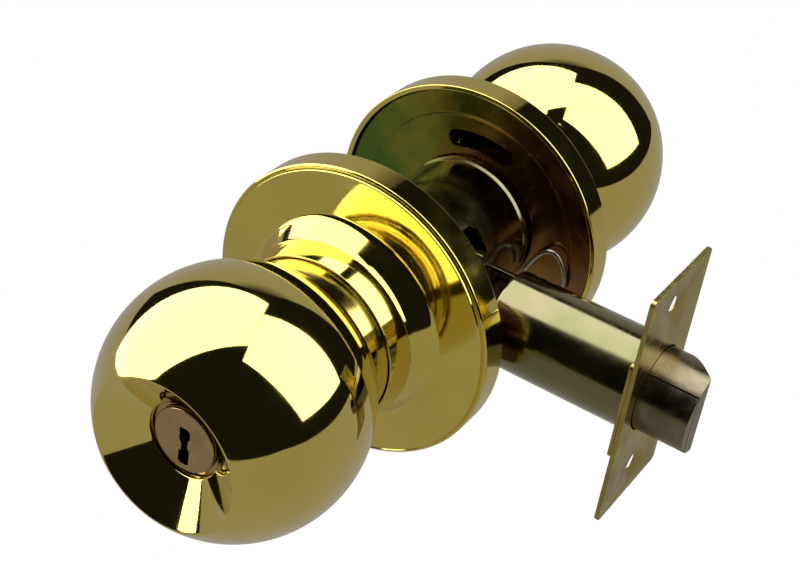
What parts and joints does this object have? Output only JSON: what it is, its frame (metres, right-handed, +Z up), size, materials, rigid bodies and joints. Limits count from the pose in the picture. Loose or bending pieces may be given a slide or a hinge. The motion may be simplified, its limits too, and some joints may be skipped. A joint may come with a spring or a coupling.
{
  "type": "keyed entry lockset",
  "caption": "Ball-knob entry lockset: keyed outside knob, turn-button inside knob, flared roses, drum chassis and tubular spring latch with deadlatch plunger.",
  "frame": {"origin": "where the knobs' axis crosses the latch's axis, inside the chassis drum", "axes": "+Y along the knobs' axis towards the inside knob, +X along the latch towards the bolt, +Z up"},
  "size_m": [0.1068, 0.1708, 0.0682],
  "materials": {
    "polished_brass": "polished and lacquered",
    "zinc_yellow_steel": "yellow zinc plated, bright",
    "dark_zinc_steel": "iridescent zinc plated",
    "plain_steel": "nickel plated, satin",
    "nickel_brass": "satin nickel over brass",
    "spring_steel": "drawn wire"
  },
  "bodies": {
    "chassis": {"adjusting_nut": "dark_zinc_steel", "bolt_spring": "spring_steel", "chassis_drum": "zinc_yellow_steel", "inside_hub": "dark_zinc_steel", "inside_rose": "polished_brass", "inside_rose_plate": "dark_zinc_steel", "latch_backing_plate": "zinc_yellow_steel", "latch_faceplate": "zinc_yellow_steel", "latch_fork": "zinc_yellow_steel", "latch_tube": "zinc_yellow_steel", "outside_hub": "dark_zinc_steel", "outside_rose": "polished_brass", "outside_rose_plate": "dark_zinc_steel", "plunger_spring": "spring_steel", "retractor_spring_lower": "spring_steel", "retractor_spring_seat": "zinc_yellow_steel", "retractor_spring_upper": "spring_steel", "rose_clip": "spring_steel"},
    "outside_knob": {"outside_knob_shell": "polished_brass", "outside_knob_neck": "polished_brass", "outside_spindle": "dark_zinc_steel", "outside_knob_catch": "spring_steel", "key_cylinder_body": "nickel_brass", "chamber_cover": "nickel_brass", "driver_pin_1": "polished_brass", "driver_pin_2": "polished_brass", "driver_pin_3": "polished_brass", "driver_pin_4": "polished_brass", "driver_pin_5": "polished_brass", "pin_spring_1": "spring_steel", "pin_spring_2": "spring_steel", "pin_spring_3": "spring_steel", "pin_spring_4": "spring_steel", "pin_spring_5": "spring_steel"},
    "key_plug": {"key_plug": "nickel_brass", "key_pin_1": "polished_brass", "key_pin_2": "polished_brass", "key_pin_3": "polished_brass", "key_pin_4": "polished_brass", "key_pin_5": "polished_brass", "plug_clip": "spring_steel", "key_tailpiece": "plain_steel"},
    "inside_knob": {"inside_knob_shell": "polished_brass", "inside_knob_neck": "polished_brass", "inside_spindle": "dark_zinc_steel", "inside_knob_catch": "spring_steel", "button_guide": "dark_zinc_steel"},
    "turn_button": {"turn_button": "polished_brass", "locking_bar": "plain_steel", "locking_dog": "plain_steel"},
    "retractor": {"retractor": "zinc_yellow_steel"},
    "latch_bolt": {"latch_bolt": "plain_steel", "bolt_tail": "plain_steel"},
    "deadlatch_plunger": {"deadlatch_plunger": "plain_steel"}
  },
  "joints": [
    {"name": "outside_knob_turn", "type": "hinge", "parent": "chassis", "child": "outside_knob", "pos_m": [0, -0.0607, 0], "axis": [0, -1, 0], "range_deg": [0, 60], "stiffness_Nm_per_rad": 0.3},
    {"name": "inside_knob_turn", "type": "hinge", "parent": "chassis", "child": "inside_knob", "pos_m": [0, 0.0655, 0], "axis": [0, -1, 0], "range_deg": [0, 60]},
    {"name": "key_plug_turn", "type": "hinge", "parent": "outside_knob", "child": "key_plug", "pos_m": [0, -0.0607, 0], "axis": [0, 1, 0], "range_deg": [0, 90]},
    {"name": "turn_button_turn", "type": "hinge", "parent": "inside_knob", "child": "turn_button", "pos_m": [0, 0.0655, 0], "axis": [0, -1, 0], "range_deg": [0, 90]},
    {"name": "retractor_slide", "type": "slide", "parent": "chassis", "child": "retractor", "axis": [-1, 0, 0], "range_m": [0, 0.012], "deforming": ["retractor_spring_upper", "retractor_spring_lower"]},
    {"name": "latch_bolt_slide", "type": "slide", "parent": "chassis", "child": "latch_bolt", "axis": [-1, 0, 0], "range_m": [0, 0.012], "deforming": ["bolt_spring"]},
    {"name": "deadlatch_plunger_slide", "type": "slide", "parent": "latch_bolt", "child": "deadlatch_plunger", "axis": [-1, 0, 0], "range_m": [0, 0.0085], "stiffness_N_per_m": 60, "deforming": ["plunger_spring"]}
  ],
  "couplings": [
    {"joint": "inside_knob_turn", "follows": "outside_knob_turn", "ratio": 1},
    {"joint": "retractor_slide", "follows": "outside_knob_turn", "m_per_rad": 0.011455},
    {"joint": "latch_bolt_slide", "follows": "outside_knob_turn", "m_per_rad": 0.011455}
  ]
}
